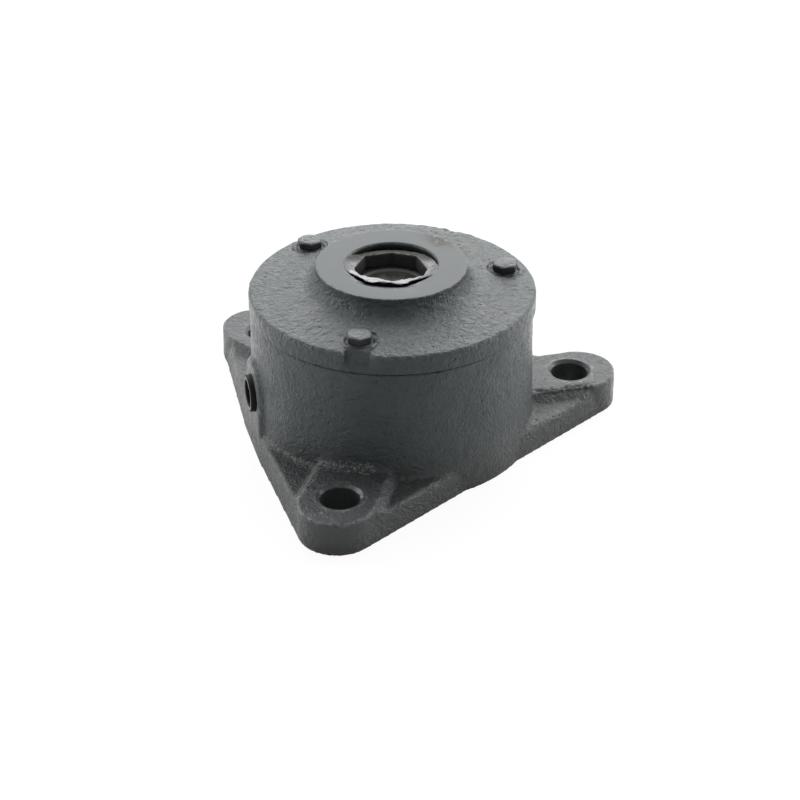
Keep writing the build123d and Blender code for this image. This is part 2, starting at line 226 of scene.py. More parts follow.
def beside_line(tree, start, end, reach):
    """1 along a straight line between two places, falling smoothly to 0 over its reach."""
    line = end - start
    offset = node(tree, "ShaderNodeVectorMath", {0: position(tree), 1: start},
                  operation="SUBTRACT").outputs[0]
    share = node(tree, "ShaderNodeVectorMath", {0: offset, 1: line / line.length_squared},
                 operation="DOT_PRODUCT").outputs["Value"]
    share = node(tree, "ShaderNodeClamp", {"Value": share}).outputs[0]
    nearest = node(tree, "ShaderNodeVectorMath", {0: line, "Scale": share}, operation="SCALE").outputs[0]
    return spread(tree, distance(tree, offset, nearest), reach, 0.4 * reach)


def bump(tree, height, distance, strength=1.0, below=None):
    inputs = {"Height": height, "Distance": distance, "Strength": strength}
    if below is not None:
        inputs["Normal"] = below
    return node(tree, "ShaderNodeBump", inputs).outputs["Normal"]


# Colours
PAINT = (0.0270, 0.0345, 0.0365, 1)
PAINT_PALE = (0.0400, 0.0480, 0.0500, 1)
PAINT_DUSTY = (0.0400, 0.0430, 0.0440, 1)
FACE_PAINT = (0.0230, 0.0290, 0.0310, 1)
STAIN = (0.0460, 0.0455, 0.0320, 1)
DUST = (0.2100, 0.2050, 0.1900, 1)
RUST = (0.0700, 0.0400, 0.0300, 1)
WORN = (0.1150, 0.1180, 0.1200, 1)
# Pale, for painted glints along the front pad's root
GLINT_PALE = (0.1500, 0.1510, 0.1500, 1)
# Near black, for painted shade: in hollows, under the right pad's edge and down the screw heads' sides
PAINTED_SHADE = (0.0080, 0.0080, 0.0090, 1)
# Near black, for painted shade down the cover's bore
COVER_BORE_SHADE = (0.0090, 0.0085, 0.0110, 1)
# Painted shade at the ring's rear
RING_REAR_SHADE = (0.0180, 0.0190, 0.0120, 1)
RING_PALE = (0.2000, 0.2000, 0.2050, 1)
# Painted light on the ring's lamp-lit lip
RING_LIT_LIP = (0.2100, 0.2070, 0.2250, 1)
# Painted highlight on the collar's rim
RING_RIM_HIGHLIGHT = (0.1600, 0.1600, 0.1650, 1)
# Painted shade down the collar
RING_WALL_SHADE = (0.0060, 0.0060, 0.0070, 1)
BUSH_DARK = (0.0030, 0.0030, 0.0030, 1)
BUSH_PALE = (0.0080, 0.0080, 0.0080, 1)
BUSH_RUST = (0.0450, 0.0280, 0.0200, 1)
BUSH_RIM = (0.1700, 0.1680, 0.1650, 1)
# Painted shade at the sleeve's end, and painted light down its bore
SLEEVE_END_SHADE = (0.1000, 0.1000, 0.0950, 1)
SLEEVE_BORE_LIGHT = (0.7000, 0.7100, 0.6600, 1)
BEARING_STEEL = (0.5500, 0.5600, 0.5700, 1)
CAGE_STEEL = (0.4200, 0.4200, 0.4100, 1)
SPRING_STEEL = (0.2000, 0.2000, 0.2000, 1)
RUBBER_DARK = (0.0180, 0.0180, 0.0190, 1)
RUBBER_PALE = (0.0300, 0.0300, 0.0310, 1)
WHITE = (1, 1, 1, 1)

# Specular levels
CAST_SPECULAR = 0.28
COVER_SPECULAR = 0.29
RING_SPECULAR = 0.32
BUSH_SPECULAR = 0.15

# Roughness of the smooth face of the boss
FACE_ROUGHNESS = 0.51
# Radius of the circle on which swept noise is laid out
SWEPT_R = 50 * MM
# Edges of the bush's pale rim, from its axis: none to full inside, and full to none outside
BUSH_RIM_INSIDE = (6.4 * MM, 6.8 * MM)
BUSH_RIM_OUTSIDE = (8.1 * MM, 7.5 * MM)
# Towards the side of the ring's lip that the lamps light, as the camera faces it
RING_LIT_SIDE = faced(-250, -968, 0)


# Materials
def swept_noise(tree, scale, stretch, detail):
    """Noise drawn out along the radius and the height, as sand and a brush leave it round a casting."""
    x, y = coordinates(tree)[:2]
    radius, height = radius_and_height(tree)
    across = node(tree, "ShaderNodeCombineXYZ", {
        "X": maths(tree, "DIVIDE", times(tree, x, SWEPT_R), radius),
        "Y": maths(tree, "DIVIDE", times(tree, y, SWEPT_R), radius),
        "Z": times(tree, maths(tree, "SUBTRACT", radius, height), stretch),
    })
    made = node(tree, "ShaderNodeTexNoise", {
        "Vector": across.outputs[0], "Scale": scale, "Detail": detail, "Roughness": 0.55, "Distortion": 0.4,
    })
    return made.outputs["Fac"]


def pebbled(tree, shader, share, pebble, wrinkle, pit):
    """Layers of bump for a painted sand casting; share turns them down where the surface is smooth."""
    normal = bump(tree, noise_value(tree, 160, 2), 0.5 * MM * pebble, share)
    normal = bump(tree, noise_value(tree, 400, 3, 0.6, 0.5), wrinkle * MM, share, normal)
    normal = bump(tree, swept_noise(tree, 1000, 0.6, 2), 0.6 * MM * pebble, share, normal)
    normal = bump(tree, noise_value(tree, 1300, 2, 0.6, 0.5), 0.42 * MM * pebble, share, normal)
    cells = node(tree, "ShaderNodeTexVoronoi", {"Vector": position(tree), "Scale": 150})
    pits = spread(tree, cells.outputs["Distance"], 0.04, 0.17)
    normal = bump(tree, pits, pit * MM, share, normal)
    tree.links.new(normal, shader.inputs["Normal"])


def clouded_paint(tree):
    """The paint in paler and darker clouds."""
    cloud = noise_value(tree, 35, 4, 0.6)
    return blend_colours(tree, spread(tree, cloud, 0.35, 0.7), PAINT, PAINT_PALE)


def wear_and_hollow_shade(tree, colour):
    """Bares the edges in specks of wear and darkens the hollows with painted shade, by what mark_edges
    stores.
    """
    out = node(tree, "ShaderNodeAttribute", attribute_name="edge").outputs["Fac"]
    specks = spread(tree, noise_value(tree, 380, 3, 0.6), 0.34, 0.62)
    bare = times(tree, spread(tree, out, 0.12, 0.45), specks)
    # Painted shade darkens the hollows
    colour = blend_colours(tree, spread(tree, out, -0.08, -0.4, 0, 0.6), colour, PAINTED_SHADE)
    return blend_colours(tree, bare, colour, WORN)


def from_hole_walls(tree):
    """Distance of the shaded point from the wall of each bolt hole, across the flange."""
    x, y = coordinates(tree)[:2]
    plan = node(tree, "ShaderNodeCombineXYZ", {"X": x, "Y": y}).outputs[0]
    return [maths(tree, "SUBTRACT", distance(tree, plan, centre), BOLT_HOLE_R) for centre in HOLE_CENTRES]


def cast_paint(name, pebble=1.0):
    """Dark grey paint over a sand casting, dusty low down and rusty along its lowest edge."""
    material, tree, shader = new_material(name)
    height = coordinates(tree)[2]
    colour = blend_colours(tree, spread(tree, height, 24 * MM, 12 * MM), clouded_paint(tree), PAINT_DUSTY)
    colour = wear_and_hollow_shade(tree, colour)

    first, second, front = from_hole_walls(tree)
    nearest = maths(tree, "MINIMUM", maths(tree, "MINIMUM", first, second), front)
    lip = times(tree, spread(tree, front, 1.7 * MM, 1.3 * MM), spread(tree, front, 0.15 * MM, 0.4 * MM))
    worn = spread(tree, noise_value(tree, 150, 2), 0.40, 0.56)
    colour = blend_colours(tree, times(tree, lip, worn), colour, WORN)

    # Painted shade, in patches, along the dent at the foot of the right pad's edge
    pad_foot_shade = times(tree, beside_line(tree, *PAD_FOOT_DENT_AND_SHADE_LINE, 3.2 * MM),
                 spread(tree, noise_value(tree, 420, 3, 0.6), 0.32, 0.50))
    colour = blend_colours(tree, pad_foot_shade, colour, PAINTED_SHADE)
    # Painted glints: pale specks along the front pad's root and its left edge
    for line, reach, least in GLINT_LINES:
        glints = times(tree, beside_line(tree, *line, reach),
                       spread(tree, noise_value(tree, 850, 2), least, least + 0.12))
        colour = blend_colours(tree, glints, colour, GLINT_PALE)
    edge = plus(tree, height, times(tree, noise_value(tree, 260, 3), -2.2 * MM))
    colour = blend_colours(tree, spread(tree, edge, 0.1 * MM, -0.5 * MM), colour, RUST)
    tree.links.new(colour, shader.inputs["Base Color"])

    cast_part = spread(tree, nearest, BOLT_HOLE_CHAMFER, BOLT_HOLE_CHAMFER + 0.3 * MM, 0.2, 1.0)
    pebbled(tree, shader, cast_part, pebble, 0.7 * pebble, 0.4 * pebble)
    dull = spread(tree, noise_value(tree, 240, 3, 0.6), 0.35, 0.65, 0.30, 0.46)
    tree.links.new(plus(tree, dull, times(tree, pad_foot_shade, 0.45)), shader.inputs["Roughness"])
    shader.inputs["Specular IOR Level"].default_value = CAST_SPECULAR
    return material


def shade_sides(material):
    """Painted shade on the sides of the screw heads, which also dulls them."""
    tree = material.node_tree
    shader = tree.nodes["Principled BSDF"]
    height = coordinates(tree)[2]
    # Painted shade down the sides of the heads, below their tops
    side_shade = spread(tree, height, SCREW_SEAT + 3.4 * MM, SCREW_SEAT + 2.6 * MM, 0, 0.85)
    colour = blend_colours(tree, side_shade, shader.inputs["Base Color"].links[0].from_socket, PAINTED_SHADE)
    tree.links.new(colour, shader.inputs["Base Color"])
    dull = spread(tree, height, SCREW_SEAT + 3.0 * MM, SCREW_SEAT + 3.6 * MM, 0.75, 0.36)
    tree.links.new(dull, shader.inputs["Roughness"])


def cover_paint():
    """The same paint, with the smooth face of the boss, painted shade down the edge of the bore and the
    stain.
    """
    material, tree, shader = new_material("cover_paint")
    radius, height = radius_and_height(tree)
    on_top = spread(tree, height, BOSS_TOP - 0.5 * MM, BOSS_TOP - 0.15 * MM)
    inside = spread(tree, radius, BOSS_R - 0.2 * MM, BOSS_R - 0.8 * MM)
    face = times(tree, on_top, inside)
    colour = blend_colours(tree, face, wear_and_hollow_shade(tree, clouded_paint(tree)), FACE_PAINT)
    # Painted shade: the bore's wall just below the face is near black
    bore = times(tree, spread(tree, radius, COVER_BORE_R + 0.7 * MM, COVER_BORE_R + 0.3 * MM),
                 spread(tree, height, BOSS_TOP - 0.6 * MM, BOSS_TOP - 3 * MM))
    colour = blend_colours(tree, bore, colour, COVER_BORE_SHADE)

    ragged = times(tree, noise_value(tree, 160, 4, 0.65), 14 * MM)
    blotch = plus(tree, distance(tree, position(tree), STAIN_PLACE), ragged)
    mottled = times(tree, spread(tree, blotch, 23 * MM, 14.5 * MM),
                    spread(tree, noise_value(tree, 330, 3, 0.6), 0.36, 0.58, 0.4, 0.95))
    colour = blend_colours(tree, mottled, colour, STAIN)
    flecks = times(tree, spread(tree, noise_value(tree, 600, 2), 0.57, 0.68),
                   spread(tree, blotch, 20 * MM, 12 * MM))
    colour = blend_colours(tree, flecks, colour, DUST)
    tree.links.new(colour, shader.inputs["Base Color"])

    bore_edge = spread(tree, radius, COVER_BORE_R + 3.5 * MM, COVER_BORE_R + 2 * MM)
    plain = maths(tree, "MAXIMUM", face, bore_edge)
    cast_part = maths(tree, "SUBTRACT", 1.0, times(tree, plain, 0.97))
    pebbled(tree, shader, cast_part, 0.75, 1.1, 0.5)
    patches = spread(tree, noise_value(tree, 240, 3, 0.6), 0.35, 0.65, 0.30, 0.44)
    smooth = times(tree, face, maths(tree, "SUBTRACT", FACE_ROUGHNESS, patches))
    dull = plus(tree, plus(tree, patches, smooth), times(tree, mottled, 0.25))
    tree.links.new(dull, shader.inputs["Roughness"])
    shader.inputs["Specular IOR Level"].default_value = COVER_SPECULAR
    return material


def ring_metal():
    """Pale crumpled sheet metal, with painted light along its lit front lip, a painted highlight along the
    collar's rim, duller and darkened with painted shade behind it, and painted shade down its collar.
    """
    material, tree, shader = new_material("ring_metal")
    forward = reach_along(tree, FORWARD)
    lit_side = reach_along(tree, RING_LIT_SIDE)
    rightward = reach_along(tree, RIGHTWARD)
    radius, height = radius_and_height(tree)
    # The height that the point would have if the ring lay level
    levelled = maths(tree, "SUBTRACT", height, times(tree, forward, -RING_SLOPE))
    speck = noise_value(tree, 420, 3, 0.6)
    ragged = times(tree, noise_value(tree, 260, 3, 0.6), 5 * MM)

    # Painted shade: the ring's rear, sunk in the bore, is darker and less pale
    rear = spread(tree, forward, -1 * MM, -10 * MM)
    colour = blend_colours(tree, rear, FACE_PAINT, RING_REAR_SHADE)
    pale = spread(tree, plus(tree, radius, ragged), 22.2 * MM, 19.4 * MM)
    pale = times(tree, pale, spread(tree, rear, 0, 1, 0.4, 0.1))
    colour = blend_colours(tree, pale, colour, RING_PALE)
    # Painted light: the lamp-lit front of the lip is pale
    lip = spread(tree, plus(tree, lit_side, times(tree, speck, 6 * MM)), 11.5 * MM, 14 * MM)
    lip = times(tree, lip, spread(tree, rightward, -19.6 * MM, -18.0 * MM))
    colour = blend_colours(tree, lip, colour, RING_LIT_LIP)
    # Painted highlight: a thin pale line along the collar's rim
    rim_highlight = times(tree, spread(tree, levelled, (RING_MIDDLE + 0.2) * MM, (RING_MIDDLE + 0.05) * MM),
                 spread(tree, levelled, (RING_MIDDLE - 0.3) * MM, (RING_MIDDLE - 0.1) * MM))
    rim_highlight = times(tree, rim_highlight, spread(tree, speck, 0.35, 0.6))
    colour = blend_colours(tree, rim_highlight, colour, RING_RIM_HIGHLIGHT)
    # Painted shade: the collar's walls below its rim are near black
    wall = spread(tree, levelled, (RING_MIDDLE - 0.25) * MM, (RING_MIDDLE - 0.8) * MM)
    colour = blend_colours(tree, wall, colour, RING_WALL_SHADE)
    tree.links.new(colour, shader.inputs["Base Color"])

    dull = plus(tree, spread(tree, speck, 0.3, 0.7, 0.45, 0.6), times(tree, rear, 0.25))
    tree.links.new(dull, shader.inputs["Roughness"])
    tree.links.new(bump(tree, noise_value(tree, 900, 3, 0.6), 0.2 * MM), shader.inputs["Normal"])
    shader.inputs["Specular IOR Level"].default_value = RING_SPECULAR
    return material


def bush_metal():
    """Blackened steel with a pale rim and rust along its lower side."""
    material, tree, shader = new_material("bush_metal")
    x, y, z = coordinates(tree)
    speck = noise_value(tree, 500, 3, 0.6)
    colour = blend_colours(tree, speck, BUSH_DARK, BUSH_PALE)
    ragged = plus(tree, z, times(tree, speck, 5 * MM))
    low = spread(tree, ragged, PORT_LOW.z + 6 * MM, PORT_LOW.z + 2.5 * MM)
    colour = blend_colours(tree, low, colour, BUSH_RUST)
    across = node(tree, "ShaderNodeCombineXYZ", {"Y": y, "Z": z}).outputs[0]
    middle = (0, 0.5 * (PORT_LOW.y + PORT_HIGH.y), 0.5 * (PORT_LOW.z + PORT_HIGH.z))
    radius = distance(tree, across, middle)
    rim = times(tree, spread(tree, x, PORT_LOW.x + 0.9 * MM, PORT_LOW.x + 0.4 * MM),
                spread(tree, radius, *BUSH_RIM_INSIDE))
    rim = times(tree, rim, spread(tree, radius, *BUSH_RIM_OUTSIDE))
    colour = blend_colours(tree, rim, colour, BUSH_RIM)
    tree.links.new(colour, shader.inputs["Base Color"])
    tree.links.new(spread(tree, speck, 0.3, 0.7, 0.55, 0.7), shader.inputs["Roughness"])
    tree.links.new(bump(tree, speck, 0.15 * MM), shader.inputs["Normal"])
    shader.inputs["Specular IOR Level"].default_value = BUSH_SPECULAR
    return material


def grained(tree, shader, roughness):
    """Gives a machined surface a fine grain, and hands back its noise."""
    speck = noise_value(tree, 900, 3, 0.6)
    dull = spread(tree, speck, 0.3, 0.7, roughness * 0.85, roughness * 1.2)
    tree.links.new(dull, shader.inputs["Roughness"])
    tree.links.new(bump(tree, speck, 0.02 * MM), shader.inputs["Normal"])
    return speck


def metal(name, colour, roughness):
    material, tree, shader = new_material(name)
    speck = grained(tree, shader, roughness)
    dark = tuple(0.8 * c for c in colour[:3]) + (1,)
    mottled = blend_colours(tree, spread(tree, speck, 0.3, 0.7), dark, colour)
    tree.links.new(mottled, shader.inputs["Base Color"])
    shader.inputs["Metallic"].default_value = 1.0
    return material


def sleeve_steel():
    """Dull steel, with painted shade at its end and painted light down its bore."""
    material, tree, shader = new_material("sleeve_steel")
    grained(tree, shader, 0.5)
    height = plus(tree, coordinates(tree)[2], times(tree, noise_value(tree, 240, 3, 0.6), 5 * MM))
    # Painted shade at the sleeve's end, fading to painted light down its bore
    colour = blend_colours(tree, spread(tree, height, 75 * MM, 68 * MM), SLEEVE_END_SHADE, SLEEVE_BORE_LIGHT)
    tree.links.new(colour, shader.inputs["Base Color"])
    return material


def rubber(name):
    material, tree, shader = new_material(name)
    speck = noise_value(tree, 800, 3, 0.6)
    tree.links.new(blend_colours(tree, speck, RUBBER_DARK, RUBBER_PALE), shader.inputs["Base Color"])
    tree.links.new(spread(tree, speck, 0.3, 0.7, 0.5, 0.65), shader.inputs["Roughness"])
    tree.links.new(bump(tree, speck, 0.03 * MM), shader.inputs["Normal"])
    return material


# Weights and distances of points
def ramp(values, start, width):
    """0 up to a start, rising straight to 1 over a width; a negative width turns it round."""
    return np.clip((values - start) / width, 0, 1)


def bell(away, width):
    """1 where away is 0, falling to 0 over a width."""
    return np.exp(-(away / width) ** 2)


def near(points, place, reach):
    """1 at a place, falling to 0 over its reach."""
    return bell(np.linalg.norm(points - np.array(place), axis=1), reach)


def along(points, start, end, reach):
    """1 along a straight line between two places, falling to 0 over its reach."""
    start, end = np.array(start), np.array(end)
    share = np.clip((points - start) @ (end - start) / ((end - start) @ (end - start)), 0, 1)
    return bell(np.linalg.norm(points - start - share[:, None] * (end - start), axis=1), reach)


def radii(points):
    return np.hypot(points[:, 0], points[:, 1])


def hole_distance(points):
    """Distance of each point from the wall of the nearest bolt hole, across the flange."""
    away = [np.hypot(points[:, 0] - x, points[:, 1] - y) for x, y, _ in np.array(HOLE_CENTRES)]
    return np.min(away, axis=0) - BOLT_HOLE_R


def screw_distance(points, number):
    """Distance of each point from the axis of a cover screw."""
    low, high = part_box(f"cover_screw_{number}")
    return np.hypot(points[:, 0] - 0.5 * (low.x + high.x), points[:, 1] - 0.5 * (low.y + high.y))


def noise_at(points, wavelength):
    return np.array([noise.noise(Vector(p) / wavelength) for p in points])


# Softened copies of the castings and the screws
def applied(piece, kind, **settings):
    """Applies one modifier to a piece's mesh."""
    modifier = piece.modifiers.new(kind, kind)
    for name, value in settings.items():
        setattr(modifier, name, value)
    graph = bpy.context.evaluated_depsgraph_get()
    mesh = bpy.data.meshes.new_from_object(piece.evaluated_get(graph))
    piece.modifiers.clear()
    piece.data = mesh
    return piece


def read_points(mesh, what="co"):
    values = np.zeros(len(mesh.vertices) * 3, np.float32)
    mesh.vertices.foreach_get(what, values)
    return values.reshape(-1, 3)


def write_points(piece, points):
    piece.data.vertices.foreach_set("co", points.astype(np.float32).ravel())
    piece.data.update()


def smooth_by(piece, weights, rounds):
    """Smooths a piece as far as the weights of its points say, from 0 to 1 in tenths."""
    group = piece.vertex_groups.new(name="soft")
    for level in range(1, 11):
        picked = np.nonzero(np.rint(weights * 10) == level)[0]
        group.add(picked.tolist(), level / 10, "REPLACE")
    applied(piece, "SMOOTH", factor=0.5, iterations=rounds, vertex_group="soft")
    piece.vertex_groups.clear()


def softened(node_name, voxel, rounds, sharp=None):
    """A finely meshed copy of a CAD node on its surface, with its edges rounded by smoothing.

    sharp takes the points and gives how far each keeps its sharpness, from 0 to 1.
    """
    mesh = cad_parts[node_name].data.copy()
    piece = bpy.data.objects.new(node_name + "_cast", mesh)
    bpy.context.scene.collection.objects.link(piece)
    applied(piece, "REMESH", mode="VOXEL", voxel_size=voxel)
    applied(piece, "SHRINKWRAP", target=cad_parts[node_name], wrap_method="NEAREST_SURFACEPOINT")
    kept = sharp(read_points(piece.data)) if sharp else np.zeros(len(piece.data.vertices))
    smooth_by(piece, 1 - kept, rounds)
    return piece


def roughen(piece, share, waves, lift=0.0):
    """Moves each point along its normal by layered noise. waves are (wavelength, height) pairs."""
    points = read_points(piece.data)
    shift = lift + sum(height * noise_at(points, wavelength) for wavelength, height in waves)
    write_points(piece, points + read_points(piece.data, "normal") * (shift * share)[:, None])


def mark_edges(piece):
    """Stores how many millimetres each point stands out from its smoothed surroundings.

    Beside the seam and round the bolt holes it stores none, so that they keep their paint.
    """
    mesh = piece.data
    points = read_points(mesh).astype(float)
    ends = np.zeros(len(mesh.edges) * 2, np.int32)
    mesh.edges.foreach_get("vertices", ends)
    first, second = ends.reshape(-1, 2).T
    links = np.maximum(np.bincount(ends, minlength=len(points)), 1)
    smooth = points.copy()
    for _ in range(EDGE_ROUNDS):
        for axis in range(3):
            values = smooth[:, axis]
            total = np.bincount(first, values[second], len(points))
            total += np.bincount(second, values[first], len(points))
            smooth[:, axis] = 0.5 * values + 0.5 * total / links
    out = ((points - smooth) * read_points(mesh, "normal")).sum(axis=1) / MM
    out *= ramp(np.abs(points[:, 2] - BODY_TOP), 2.5 * MM, 2 * MM)
    out *= ramp(hole_distance(points), 1.6 * MM, 1 * MM)
    mesh.attributes.new("edge", "FLOAT", "POINT").data.foreach_set("value", out.astype(np.float32))


def finish_cast(piece, node_name, material, triangles, sharp_angle=55):
    """Thins the mesh, most where it is flat, and hands the piece over in place of its node."""
    piece.data.calc_loop_triangles()
    applied(piece, "DECIMATE", ratio=min(1, triangles / len(piece.data.loop_triangles)))
    mark_edges(piece)
    mesh = piece.data
    mesh.polygons.foreach_set("use_smooth", [True] * len(mesh.polygons))
    mesh.set_sharp_from_angle(angle=radians(sharp_angle))
    mesh.materials.clear()
    mesh.materials.append(material)
    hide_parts(node_name)
    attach(piece, "stator")
    return piece


# The housing
def hole_sharpness(points):
    """How far the bolt holes and their chamfers keep their sharpness."""
    return np.clip(1.2 - hole_distance(points) / (2.5 * MM), 0, 0.8)


def true_holes(piece):
    """Sets the bolt holes' walls and both edges of their chamfers back on their circles and levels."""
    points = read_points(piece.data)
    mouth = BOLT_HOLE_R + BOLT_HOLE_CHAMFER
    for centre in np.array(HOLE_CENTRES)[:, :2]:
        across = points[:, :2] - centre
        away = np.hypot(across[:, 0], across[:, 1])
        wall = np.abs(away - BOLT_HOLE_R) < 0.5 * MM
        points[wall, :2] = centre + across[wall] * (BOLT_HOLE_R / away[wall])[:, None]
        foot = wall & (np.abs(points[:, 2] - PAD_TOP + BOLT_HOLE_CHAMFER) < 0.4 * MM)
        points[foot, 2] = PAD_TOP - BOLT_HOLE_CHAMFER
        edge = (np.abs(away - mouth) < 0.4 * MM) & (points[:, 2] > PAD_TOP - 1 * MM)
        points[edge, :2] = centre + across[edge] * (mouth / away[edge])[:, None]
        points[edge, 2] = PAD_TOP
    write_points(piece, points)


def stretch_ear(piece):
    """Draws the end of the left rear ear out, beyond its bolt hole, as far as the photograph shows it."""
    points = read_points(piece.data)
    outward = np.array([cos(LEFT_REAR_EAR), sin(LEFT_REAR_EAR), 0])
    beyond = points @ outward - BOLT_CIRCLE_R - BOLT_HOLE_R - 1.5 * MM
    points += (EAR_STRETCH * np.clip(beyond / (10 * MM), 0, 1))[:, None] * outward
    write_points(piece, points)


def dress_housing(material):
    """Softens the port boss's side, draws one ear out and lays the flaws and the sand's waves on."""
    piece = softened("housing", 0.7 * MM, 5, hole_sharpness)
    for level, rounds in PORT_BOSS_MELT:
        place = Vector((*PORT_BOSS_SIDE, level)) * MM
        smooth_by(piece, near(read_points(piece.data), place, 6 * MM), rounds)
    stretch_ear(piece)
    points = read_points(piece.data)
    height = points[:, 2]
    # The sand's waves stay off the bore, the seam, the foot and the bolt holes
    share = np.where(radii(points) > WAVES_FROM_R, 1.0, 0.0) * (height < BODY_TOP - 0.8 * MM)
    share *= ramp(height, 0, 3 * MM) * (height > 0.4 * MM)
    share *= ramp(hole_distance(points), 1.8 * MM, 1.5 * MM)
    share *= np.clip(height / (8 * MM), 0.3, 1)
    true_holes(piece)
    roughen(piece, along(points, *PAD_FOOT_DENT_AND_SHADE_LINE, 1.7 * MM), ((1.9 * MM, 0.6 * MM),), -0.9 * MM)
    roughen(piece, along(points, *FLANK_LINE, 3 * MM), ((2.2 * MM, 0.8 * MM),))
    roughen(piece, share, ((22 * MM, 0.35 * MM), (6 * MM, 0.12 * MM), (1.8 * MM, 0.09 * MM)))
    return finish_cast(piece, "housing", material, CASTING_TRIANGLES, 40)


# The cover
def cut_notch(points):
    """Sets the front rim back, in front of the front screw."""
    rightward, rearward = points @ np.array(RIGHTWARD), points @ np.array(REARWARD)
    notch = np.exp(-((rightward - NOTCH_RIGHT) / NOTCH_HALF_WIDTH) ** 6)
    notch *= ramp(rearward, NOTCH_REAR, -2 * MM)
    notch *= ramp(points[:, 2], 66 * MM, 3 * MM)
    points += notch[:, None] * np.array(NOTCH_SHIFT)


def cut_grooves(points, radius):
    """Sinks a broken groove round each screw's seat and a deeper one round its head."""
    for number in SCREW_NUMBERS:
        away = screw_distance(points, number)
        groove = 0.7 * MM * bell(away - SEAT_GROOVE_R, 0.4 * MM)
        groove *= np.clip(0.6 + 2.5 * noise_at(points, 7 * MM), 0, 1)
        groove += 0.9 * MM * bell(away - HEAD_GROOVE_R, 0.5 * MM)
        points[:, 2] -= groove * (points[:, 2] > SCREW_SEAT - 1 * MM) * (radius < COVER_RIM_R - 1.5 * MM)


def dish_bore_edge(piece):
    """Lowers the front of the bore's edge, where the boss is dished under the ring's lip."""
    points = read_points(piece.data)
    radius = radii(points)
    front = points @ np.array(DISH_WAY) / np.maximum(radius, 1 * MM)
    drop = DISH_DEPTH * ramp(radius, DISH_R, -3 * MM) * ramp(front, 0.6, 0.3)
    drop *= radius > COVER_BORE_R - 1 * MM
    points[:, 2] = np.minimum(points[:, 2], np.where(drop > 0, BOSS_TOP - drop, 1))
    write_points(piece, points)


def dress_cover(material):
    """Cuts the notch and the grooves, swells the right side and lays the chips and the sand's waves on."""
    piece = softened("cover", 0.5 * MM, 4)
    points = read_points(piece.data)
    radius = radii(points)
    # The sand's waves lie on the sloping skin, weaker along the rim and stronger on the coarse patch
    share = np.where(radius > BOSS_R + 0.3 * MM, 1.0, 0.0)
    share *= points[:, 2] > COVER_LOW.z + 5.5 * MM
    share *= 1 - 0.45 * bell(radius - COVER_RIM_R, 2.5 * MM)
    share += 1.5 * near(points, COARSE_PLACE, 14 * MM) * (radius > 40 * MM)
    smooth_by(piece, near(points, NOTCH_PLACE, 7 * MM), 5)
    points = read_points(piece.data)
    cut_notch(points)
    bulge = near(points, BULGE_PLACE, 32 * MM) * ramp(radius, 57 * MM, 6 * MM)
    points[:, :2] *= 1 + (BULGE * bulge / radius)[:, None]
    cut_grooves(points, radius)
    write_points(piece, points)
    chips = 0.5 * (np.abs(points[:, 2] - COVER_RIM_TOP) < 1.2 * MM) * near(points, CHIP_PLACE, 13 * MM)
    roughen(piece, share, ((20 * MM, 0.35 * MM), (5 * MM, 0.16 * MM), (2.2 * MM, 0.22 * MM)))
    roughen(piece, chips, ((1.8 * MM, 0.35 * MM),))
    dish_bore_edge(piece)
    return finish_cast(piece, "cover", material, CASTING_TRIANGLES)


def dress_screw(number, material):
    """Crowns the head of a cover screw and makes it uneven."""
    name = f"cover_screw_{number}"
    piece = softened(name, 0.3 * MM, 4)
    points = read_points(piece.data)
    rise = np.clip(points[:, 2] - SCREW_SEAT, 0, None)
    points[:, 2] -= rise * (0.06 + 0.16 * (screw_distance(points, number) / SCREW_HEAD_R) ** 2)
    write_points(piece, points)
    share = ramp(points[:, 2], SCREW_SEAT, 0.8 * MM)
    roughen(piece, share, ((5 * MM, 0.3 * MM), (1.8 * MM, 0.14 * MM)), 0.2 * MM)
    return finish_cast(piece, name, material, SCREW_TRIANGLES)


# The bore's ring, drawn as it lies: azimuth of each corner as the camera faces it, and its radius
RING_CORNERS = (
    (-142.1, 16.2), (-89.6, 16.7), (-39.7, 18.1), (-7.6, 16.5), (47.7, 17.15), (90.0, 16.9),
    (133.7, 17.9), (180.7, 16.8),
)
# Azimuth, radius and height of the flange's outer edge; it laps over the boss where it is wider than
# the bore, and hangs down into the bore where it is narrower
RING_EDGE = (
    (-180, 21.8, 85.45), (-166, 21.6, 85.45), (-157, 21.2, 85.45), (-151, 20.5, 85.5), (-146, 19.9, 85.6),
    (-139, 19.6, 85.6), (-130, 19.8, 85.7), (-123, 21.0, 85.9), (-113, 21.2, 86.0), (-108, 18.9, 85.6),
    (-90, 18.7, 85.6), (-82, 21.1, 85.9), (-70, 21.2, 85.9), (-66, 19.1, 85.5), (-50, 19.1, 85.4),
    (-41, 20.4, 85.5), (-34, 21.4, 85.5), (-18, 22.0, 85.45), (-6, 21.4, 85.45), (4, 20.3, 84.8),
    (30, 19.9, 83.6), (60, 19.4, 82.7), (90, 19.2, 82.3), (120, 19.4, 82.7), (140, 19.9, 83.4),
    (150, 20.4, 84.6), (158, 21.4, 85.45), (168, 21.8, 85.45), (180, 22.0, 85.45),
)
# Height of the collar's top at the axis, its rise towards the rear, and the collar's depth and the
# sheet's thickness; lengths are in millimetres, as in the two tables
RING_MIDDLE = 83.9
RING_SLOPE = -0.0854
RING_COLLAR = 6.4
RING_SHEET = 0.45
RING_STEPS = 192


def corner_radius(azimuth):
    """Radius of the straight-sided collar at an azimuth in degrees.

    Between the last corner and the first the collar keeps the last corner's radius.
    """
    start = RING_CORNERS[0][0]
    azimuth = (azimuth - start) % 360 + start
    for (a, ra), (b, rb) in zip(RING_CORNERS, RING_CORNERS[1:]):
        if a <= azimuth <= b:
            first, second, way = radians(a), radians(b), radians(azimuth)
            return ra * rb * sin(second - first) / (ra * sin(way - first) + rb * sin(second - way))
    return RING_CORNERS[-1][1]


